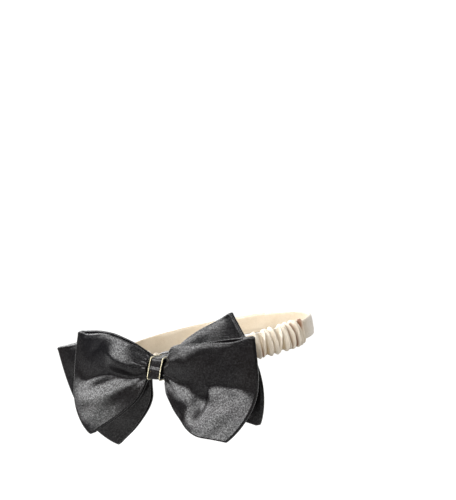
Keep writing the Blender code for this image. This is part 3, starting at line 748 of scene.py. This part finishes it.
def casing_profile(sides, thickness, height):
    """The casing's section, a squarish oval, as outward and upward places."""
    angle = np.linspace(0, 2 * math.pi, sides, endpoint=False)
    return (signed_power(np.cos(angle), CASING_SQUASH) * thickness / 2,
            signed_power(np.sin(angle), CASING_SQUASH) * height / 2)


def even_profile(sides, thickness, height):
    """The casing's section with its points equally spaced, for a fine mesh."""
    places, _ = resample(np.stack(casing_profile(720, thickness, height), -1), sides)
    outward, up = places.T
    return np.arctan2(up / height, outward / thickness), outward, up


def hidden_ruches(start, end, pitch, seed):
    """Irregular gathers for the stretch that is not charted."""
    draw = np.random.default_rng(seed)
    return [Ruche((start + pitch * (step + draw.uniform(-RUCHE_SHIFT, RUCHE_SHIFT))) / MM,
                  draw.uniform(*RUCHE_LEANS), draw.uniform(*RUCHE_HEIGHTS),
                  pitch / MM * draw.uniform(*RUCHE_WIDTHS))
            for step in range(int((end - start) / pitch))]


def ridge_field(ruches, along, up_share, crest):
    """Gathered cloth: 1 on the highest crest line and 0 in a valley, with narrow crests."""
    field = np.zeros(np.broadcast(along, up_share).shape)
    for index, ruche in enumerate(ruches):
        bend = RUCHE_BEND * math.sin(index * 2.4)
        line = ruche.place - ruche.lean / 2 * up_share + bend * (up_share ** 2 - 0.5)
        gap = np.hypot(along / MM - line, crest) - crest
        flank = np.clip(1 - gap / ruche.width, 0, 1) ** FLANK_POWER
        field = np.maximum(field, ruche.tall * flank)
    return field


def shadow_line(shadow, along, up_share):
    """A soft painted shadow line across the casing, from 0 to about its strength."""
    line = shadow.place - shadow.lean * up_share
    strength = shadow.strength - shadow.fade * up_share
    return strength * np.exp(-((along / MM - line) / shadow.width) ** 2)


def on_loop(angle, radius, height):
    """Points of the neck loop in its own frame; angle 0 is behind the knot."""
    return np.stack(np.broadcast_arrays(radius * np.sin(angle), -radius * np.cos(angle), height), -1)


def stretch_object(name, grid, length, girth, material, masks):
    """A stretch of the neck loop as a closed tube; each end is one many-sided face."""
    rows, columns = grid.shape[:2]
    ends = [tuple(range(columns))[::-1], tuple(range((rows - 1) * columns, rows * columns))]
    faces = [tuple(face) for face in quads(rows, columns, False, True)] + ends
    uvs = grid_uvs(np.linspace(0, 1, rows) * length, np.arange(columns) / columns * girth)
    obj = make_object(name, grid.reshape(-1, 3), faces, material, uvs, masks)
    obj.matrix_world = NECK_TURN
    return obj


def build_ruched(material):
    """The gathered casing, with masks for painted shade in its valleys and a few painted shadows in a warm
    dark tone.
    """
    half_arc = math.radians(RUCHED_HALF_ARC)
    length = 2 * half_arc * CASING_MIDDLE
    turn, outward, up = even_profile(RUCHED_SIDES, RUCHED_THICKNESS, RUCHED_HEIGHT)
    share = np.linspace(0, 1, RUCHED_STEPS + 1)[:, None]
    angle = -half_arc + 2 * half_arc * share
    up_share = (2 * up / RUCHED_HEIGHT)
    facing = (0.5 + 0.5 * np.cos(turn))
    edge = (np.abs(np.sin(turn)) ** 4)
    along = (share - 0.5) * length
    first_shown = SHOWN_RUCHES[0].place * MM - 0.6 * RUCHE_PITCH
    hidden = hidden_ruches(-length / 2, first_shown, RUCHE_PITCH, RUCHE_SEED)
    field = ridge_field(list(SHOWN_RUCHES) + hidden, along, up_share, CREST)
    fine_ruches = hidden_ruches(-length / 2, length / 2, FINE_PITCH, FINE_SEED)
    fine = ridge_field(fine_ruches, along, up_share, FINE_CREST)
    from_end = np.minimum(share, 1 - share) * length
    from_keeper = np.maximum(np.abs(angle) * CASING_MIDDLE - KNOT_WIDTH / 2, 0)
    grip = smoothstep(np.minimum(from_end, from_keeper) / GRIP_RUN)
    tuck_gap = (from_end - (TUCK_PLACE - TUCK_LEAN * up_share)) / TUCK_WIDTH
    tuck = np.exp(-tuck_gap ** 2) * smoothstep(0.4 + up_share)
    swell = -VALLEY_DEPTH + RUCHE_RISE * field + FINE_RISE * fine - TUCK_DEPTH * tuck
    swell = swell * grip * (INNER_SHARE + (1 - INNER_SHARE) * facing)
    radius = CASING_MIDDLE + outward + swell * np.cos(turn)
    scallop = (-EDGE_DIP + EDGE_RISE * field + FINE_EDGE_RISE * fine) * grip * edge
    gripped = 1 - smoothstep(from_keeper / CASING_WAIST_RUN)
    height = up * (1 - (1 - CASING_WAIST / RUCHED_HEIGHT) * gripped)
    height = height + scallop * np.sign(np.sin(turn))
    grid = on_loop(angle, radius, height)
    # painted shade in the low valleys, fading towards the top
    valley = smoothstep((VALLEY_TOP - field - FINE_SHADE * fine) / VALLEY_SOFTNESS)
    valley = valley * (VALLEY_SHADE - VALLEY_FADE * up_share) * grip
    # painted shadow: dark lines in a few valleys, at the foot and at the tuck
    painted_shadow = sum(shadow_line(shadow, along, up_share) for shadow in VALLEY_SHADOWS)
    foot = shadow_line(FOOT_SHADOW, along, up_share) * smoothstep(FOOT_SHADOW_TOP - up_share)
    painted_shadow = (painted_shadow + foot) * smoothstep((PAINTED_SHADOW_TOP - field) / PAINTED_SHADOW_SOFTNESS) + TUCK_SHADE * tuck
    masks = {"valley": np.clip(valley, 0, 1), "painted_shadow": np.clip(painted_shadow, 0, 1)}
    girth = 2 * (RUCHED_HEIGHT + RUCHED_THICKNESS)
    return stretch_object("ruched_casing", grid, length, girth, material, masks), grid


def build_plain(material):
    """The smooth nape band, pulled in at its ends, with one sewn line along it."""
    start = math.radians(RUCHED_HALF_ARC) + CLEARANCE / CASING_MIDDLE
    span = 2 * (math.pi - start)
    length = span * CASING_MIDDLE
    turn, outward, up = even_profile(PLAIN_SIDES, PLAIN_THICKNESS, PLAIN_HEIGHT)
    share = np.linspace(0, 1, PLAIN_STEPS + 1)[:, None]
    angle = start + span * share
    pull = np.exp(-np.minimum(share, 1 - share) * length / PULL_RUN)
    wrinkle = PULL_WRINKLE * pull * np.cos(up / MM * 2.4)
    drift = up / MM * BAND_DRIFT
    first, second = BAND_WAVES
    wave = (first.size * np.sin(angle * first.pace + drift + first.phase)
            + second.size * np.sin(angle * second.pace + second.phase))
    seam = SEAM_DEPTH * np.exp(-((up - SEAM_PLACE * PLAIN_HEIGHT) / SEAM_WIDTH) ** 2)
    facing = np.cos(turn)
    radius = CASING_MIDDLE + outward + (wrinkle + wave - seam) * facing
    grid = on_loop(angle, radius, up * (1 - PULL_SHARE * pull))
    # painted shade over the whole band, more at its pulled-in ends and on its inner side
    valley = BAND_SHADE + PULL_SHADE * pull + INNER_SHADE * smoothstep(-facing / 0.4)
    masks = {"valley": valley, "painted_shadow": np.zeros_like(valley)}
    girth = 2 * (PLAIN_HEIGHT + PLAIN_THICKNESS)
    return stretch_object("nape_band", grid, length, girth, material, masks), grid


def build_keeper(material):
    """The flat loop behind the knot that the casing runs through."""
    width = KNOT_WIDTH - 4 * TRIM_RADIUS - 4 * CLEARANCE
    depth_half = RUCHED_THICKNESS / 2 + CLEARANCE + KEEPER_WALL / 2
    up_half = CASING_WAIST / 2 + CLEARANCE + KEEPER_WALL / 2
    path = []
    for quarter, (depth_sign, up_sign) in enumerate(((1, 1), (-1, 1), (-1, -1), (1, -1))):
        depth = (depth_half - KEEPER_CORNER) * depth_sign - CASING_MIDDLE
        up = (up_half - KEEPER_CORNER) * up_sign
        for step in range(KEEPER_CORNER_STEPS + 1):
            turn = math.pi / 2 * (quarter + step / KEEPER_CORNER_STEPS)
            path.append((0.0, depth + KEEPER_CORNER * math.cos(turn),
                         up + KEEPER_CORNER * math.sin(turn)))
    path, girth = resample(np.array(path), KEEPER_STEPS)
    outward = np.cross(directions(path), SIDEWAYS)
    turns = np.linspace(0, 2 * math.pi, KEEPER_SIDES, endpoint=False)
    flat = signed_power(np.cos(turns), KEEPER_FLATNESS) * width / 2
    thick = signed_power(np.sin(turns), KEEPER_EDGE) * KEEPER_WALL / 2
    ring = (path[:, None] + outward[:, None] * thick[:, None]
            + SIDEWAYS * flat[:, None])
    uvs = grid_uvs(np.linspace(0, girth, KEEPER_STEPS),
                   np.arange(KEEPER_SIDES) / KEEPER_SIDES * 2 * width)
    obj = ring_object("keeper_loop", ring, material, uvs)
    obj.matrix_world = NECK_TURN
    return obj


class Nodes:
    """Short ways to add shader nodes to one material."""

    def __init__(self, name):
        self.material = bpy.data.materials.new(name)
        self.material.use_nodes = True
        self.tree = self.material.node_tree
        self.shader = self.tree.nodes["Principled BSDF"]

    def add(self, kind, settings=None, **inputs):
        node = self.tree.nodes.new(kind)
        for key, value in (settings or {}).items():
            setattr(node, key, value)
        for key, value in inputs.items():
            self.feed(node.inputs[key.replace("_", " ")], value)
        return node

    def feed(self, socket, value):
        if isinstance(value, bpy.types.NodeSocket):
            self.tree.links.new(value, socket)
        else:
            socket.default_value = value

    def shade(self, **inputs):
        """Set or link the shader's inputs; an underscore stands for a space."""
        for key, value in inputs.items():
            self.feed(self.shader.inputs[key.replace("_", " ")], value)

    def place(self):
        return self.add("ShaderNodeTexCoord").outputs["Object"]

    def mask(self, name):
        return self.add("ShaderNodeAttribute", {"attribute_name": name}).outputs["Fac"]

    def scaled(self, value, factor, plus):
        return self.math("ADD", self.math("MULTIPLY", value, factor), plus)

    def math(self, operation, first, second=0.0):
        node = self.add("ShaderNodeMath", {"operation": operation})
        self.feed(node.inputs[0], first)
        self.feed(node.inputs[1], second)
        return node.outputs[0]

    def mix(self, factor, first, second):
        node = self.add("ShaderNodeMix", {"data_type": "RGBA"})
        self.feed(node.inputs["Factor"], factor)
        self.feed(node.inputs[6], first)
        self.feed(node.inputs[7], second)
        return node.outputs[2]

    def ramp(self, value, low, high):
        node = self.add("ShaderNodeMapRange", {"clamp": True})
        self.feed(node.inputs["Value"], value)
        node.inputs["From Min"].default_value = low
        node.inputs["From Max"].default_value = high
        return node.outputs[0]

    def noise(self, vector, scale, detail=2.0, roughness=0.5):
        return self.add("ShaderNodeTexNoise", Vector=vector, Scale=scale, Detail=detail,
                        Roughness=roughness).outputs[0]

    def bump(self, height, distance, strength, normal=None):
        node = self.add("ShaderNodeBump", Height=height, Distance=distance, Strength=strength)
        if normal is not None:
            self.feed(node.inputs["Normal"], normal)
        return node.outputs[0]


def satin(name):
    """Nodes of a satin whose gloss is drawn out along the cloth."""
    nodes = Nodes(name)
    settings = {"direction_type": "UV_MAP", "uv_map": "cloth"}
    nodes.shade(Tangent=nodes.add("ShaderNodeTangent", settings).outputs[0])
    return nodes


def black_satin():
    """Nearly black cloth whose gloss breaks up into fine glints."""
    nodes = satin("black_satin_cloth")
    place = nodes.place()
    grain = nodes.noise(place, scale=1100.0, roughness=0.8)
    cloud = nodes.noise(place, scale=22.0)
    tint = nodes.mix(nodes.ramp(cloud, 0.35, 0.65), BLACK_COOL, BLACK_WARM)
    glint = nodes.ramp(grain, 0.42, 0.72)
    # painted glints: the grain that raises the gloss also lightens the colour
    colour = nodes.mix(nodes.math("MULTIPLY", glint, 0.25), tint, BLACK_GLINT)
    nodes.shade(Base_Color=colour, Roughness=0.25, Specular_IOR_Level=nodes.scaled(glint, 0.75, 0.20),
                Normal=nodes.bump(grain, 0.10 * MM, 0.9), Anisotropic=0.45)
    return nodes.material


def champagne_satin():
    """Champagne satin with painted shade in its masked valleys and a painted warm dark shadow in a few of
    them.
    """
    nodes = satin("champagne_satin_cloth")
    uv = nodes.add("ShaderNodeUVMap", {"uv_map": "cloth"}).outputs[0]
    place = nodes.place()
    cloud = nodes.noise(place, scale=120.0, detail=3.0, roughness=0.6)
    grain = nodes.noise(place, scale=1600.0, detail=1.0, roughness=0.6)
    crinkle = nodes.noise(place, scale=380.0, detail=3.0, roughness=0.55)
    threads = nodes.add("ShaderNodeTexWave", {"wave_type": "BANDS", "bands_direction": "Y"},
                        Vector=uv, Scale=900.0, Distortion=1.5, Detail=1.0).outputs[1]
    base = nodes.mix(nodes.ramp(cloud, 0.35, 0.65), CHAMPAGNE_DEEP, CHAMPAGNE_PALE)
    # painted shade from the valley mask darkens the colour
    shaded = nodes.mix(nodes.math("MULTIPLY", nodes.mask("valley"), 0.85), base, CHAMPAGNE_SHADE)
    # the painted shadow mask darkens the colour towards a warm dark tone
    colour = nodes.mix(nodes.math("MULTIPLY", nodes.mask("painted_shadow"), 0.9), shaded, CHAMPAGNE_PAINTED_SHADOW)
    normal = nodes.bump(grain, 0.04 * MM, 0.5)
    normal = nodes.bump(threads, 0.03 * MM, 0.4, normal)
    normal = nodes.bump(crinkle, 0.5 * MM, 0.35, normal)
    nodes.shade(Base_Color=colour, Roughness=nodes.scaled(grain, 0.12, 0.23), Normal=normal,
                Specular_IOR_Level=0.5, Anisotropic=0.4, Sheen_Weight=0.2, Sheen_Roughness=0.3)
    return nodes.material


def gold_thread():
    """Pale metallic thread with a fine glitter."""
    nodes = Nodes("pale_gold_thread")
    grain = nodes.noise(nodes.place(), scale=2600.0, roughness=0.7)
    colour = nodes.mix(nodes.ramp(grain, 0.35, 0.65), GOLD_DEEP, GOLD_PALE)
    nodes.shade(Base_Color=colour, Roughness=nodes.scaled(grain, 0.25, 0.18),
                Normal=nodes.bump(grain, 0.06 * MM, 0.8), Metallic=0.9)
    return nodes.material


def pale_paper():
    """Pale paper that glows a little, and more behind the object."""
    nodes = Nodes("pale_backdrop")
    place = nodes.place()
    ahead = nodes.add("ShaderNodeSeparateXYZ", Vector=place).outputs["Y"]
    cloud = nodes.ramp(nodes.noise(place, scale=3.0), 0.3, 0.7)
    paper = nodes.mix(cloud, PAPER_DEEP, PAPER_PALE)
    colour = nodes.mix(nodes.ramp(ahead, 0.3, 1.2), PAPER_IN_FRONT, paper)
    glow = nodes.scaled(nodes.ramp(ahead, 0.6, 1.5), 0.42, 0.45)
    nodes.shade(Base_Color=colour, Roughness=0.9, Emission_Color=PAPER_GLOW, Emission_Strength=glow)
    return nodes.material


def build_backdrop():
    """A pale floor that sweeps up behind the object, square to the camera."""
    floor = CAD_BOX[0].z - FLOOR_BELOW
    line = [(FLOOR_NEAR, floor), (FLOOR_FLAT, floor), (FLOOR_FAR, floor)]
    for step in range(1, BEND_STEPS + 1):
        turn = math.pi / 2 * step / BEND_STEPS
        line.append((FLOOR_FAR + BACKDROP_BEND * math.sin(turn),
                     floor + BACKDROP_BEND * (1 - math.cos(turn))))
    line.append((FLOOR_FAR + BACKDROP_BEND, floor + WALL_HEIGHT))
    verts = [(side, far, up) for far, up in line for side in (-BACKDROP_HALF_WIDTH, BACKDROP_HALF_WIDTH)]
    obj = make_object("pale_backdrop", verts, quads(len(line), 2, False, False), pale_paper())
    obj.matrix_world = Matrix.Rotation(math.radians(CAMERA_AZIMUTH), 4, "Z")


def direction(azimuth, elevation):
    """From the object towards a camera or light, in degrees round it and up."""
    a, e = math.radians(azimuth), math.radians(elevation)
    return Vector((math.sin(a) * math.cos(e), -math.cos(a) * math.cos(e), math.sin(e)))


def stand(name, data, place, back):
    """Put up a camera or light that looks the way opposite to back."""
    obj = bpy.data.objects.new(name, data)
    bpy.context.scene.collection.objects.link(obj)
    obj.location = place
    obj.rotation_mode = "QUATERNION"
    obj.rotation_quaternion = back.to_track_quat("Z", "Y")
    return obj


def add_light(box):
    light = bpy.data.lights.new(box.name, "AREA")
    light.shape = "RECTANGLE"
    light.size, light.size_y = box.size
    light.energy = box.power
    back = direction(box.azimuth, box.elevation)
    stand(box.name, light, SEAT + back * box.distance, back)


def build_stage():
    """The backdrop, the softboxes and a faint even light from all sides."""
    build_backdrop()
    for box in SOFTBOXES:
        add_light(box)
    world = bpy.data.worlds.new("studio")
    bpy.context.scene.world = world
    world.use_nodes = True
    background = world.node_tree.nodes["Background"]
    background.inputs["Color"].default_value = (1.0, 1.0, 1.0, 1.0)
    background.inputs["Strength"].default_value = WORLD_LIGHT
    bpy.context.scene.view_settings.view_transform = "Standard"


def build_camera():
    """The photo's camera: the knot's middle falls on its pixel, at the fitted scale."""
    back = direction(CAMERA_AZIMUTH, CAMERA_ELEVATION)
    a = math.radians(CAMERA_AZIMUTH)
    right = Vector((math.cos(a), math.sin(a), 0.0))
    up = back.cross(right)
    target = (SEAT + right * ((IMAGE_WIDTH / 2 - KNOT_PIXEL[0]) * METRES_PER_PIXEL)
              + up * ((KNOT_PIXEL[1] - IMAGE_HEIGHT / 2) * METRES_PER_PIXEL))
    data = bpy.data.cameras.new("camera")
    data.sensor_width = CAMERA_SENSOR
    data.lens = CAMERA_DISTANCE / METRES_PER_PIXEL / IMAGE_HEIGHT * data.sensor_width
    data.clip_start, data.clip_end = CAMERA_CLIP
    bpy.context.scene.camera = stand("camera", data, target + back * CAMERA_DISTANCE, back)


def settle(obj, node):
    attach(obj, "root")
    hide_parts(node)


def flat_size(grid):
    """Width and length of a closed band as cut, measured along its middle lines."""
    across = cloth_length(grid, 1)[:, -1].mean()
    around = cloth_length(np.concatenate([grid, grid[:1]]), 0)[-1].mean()
    return float(across), float(around)


def pressed_size(grid, closed):
    """Width and length of a tube of cloth when it is pressed flat into two layers."""
    across = cloth_length(np.concatenate([grid, grid[:, :1]], 1), 1)[:, -1].mean() / 2
    line = np.concatenate([grid, grid[:1]]) if closed else grid
    return float(across), float(cloth_length(line, 0)[-1].mean())


def build():
    build_camera()
    build_stage()
    black, champagne, gold = black_satin(), champagne_satin(), gold_thread()
    for name, node, bow in (("front_bow_satin", "front_bow", FRONT_BOW),
                            ("back_bow_satin", "back_bow", BACK_BOW)):
        obj, grid = build_bow(name, bow, black)
        settle(obj, node)
        flat_size(grid)
    settle(build_cord("gold_cord_left", -1, gold), "knot_trim_left")
    settle(build_cord("gold_cord_right", 1, gold), "knot_trim_right")
    settle(build_keeper(black), "bow_keeper")
    for make, material, node, slot, held, closed, carrier in (
            (build_knot, black, "knot_band", "black_satin", "folded", True, "front_bow_satin"),
            (build_ruched, champagne, "collar_ruched", "champagne_satin", "gathered", False, "nape_band"),
            (build_plain, champagne, "collar_plain", "champagne_satin", "stretched", False,
             "ruched_casing")):
        obj, grid = make(material)
        settle(obj, node)
        pressed_size(grid, closed)


build()
bpy.context.view_layer.update()
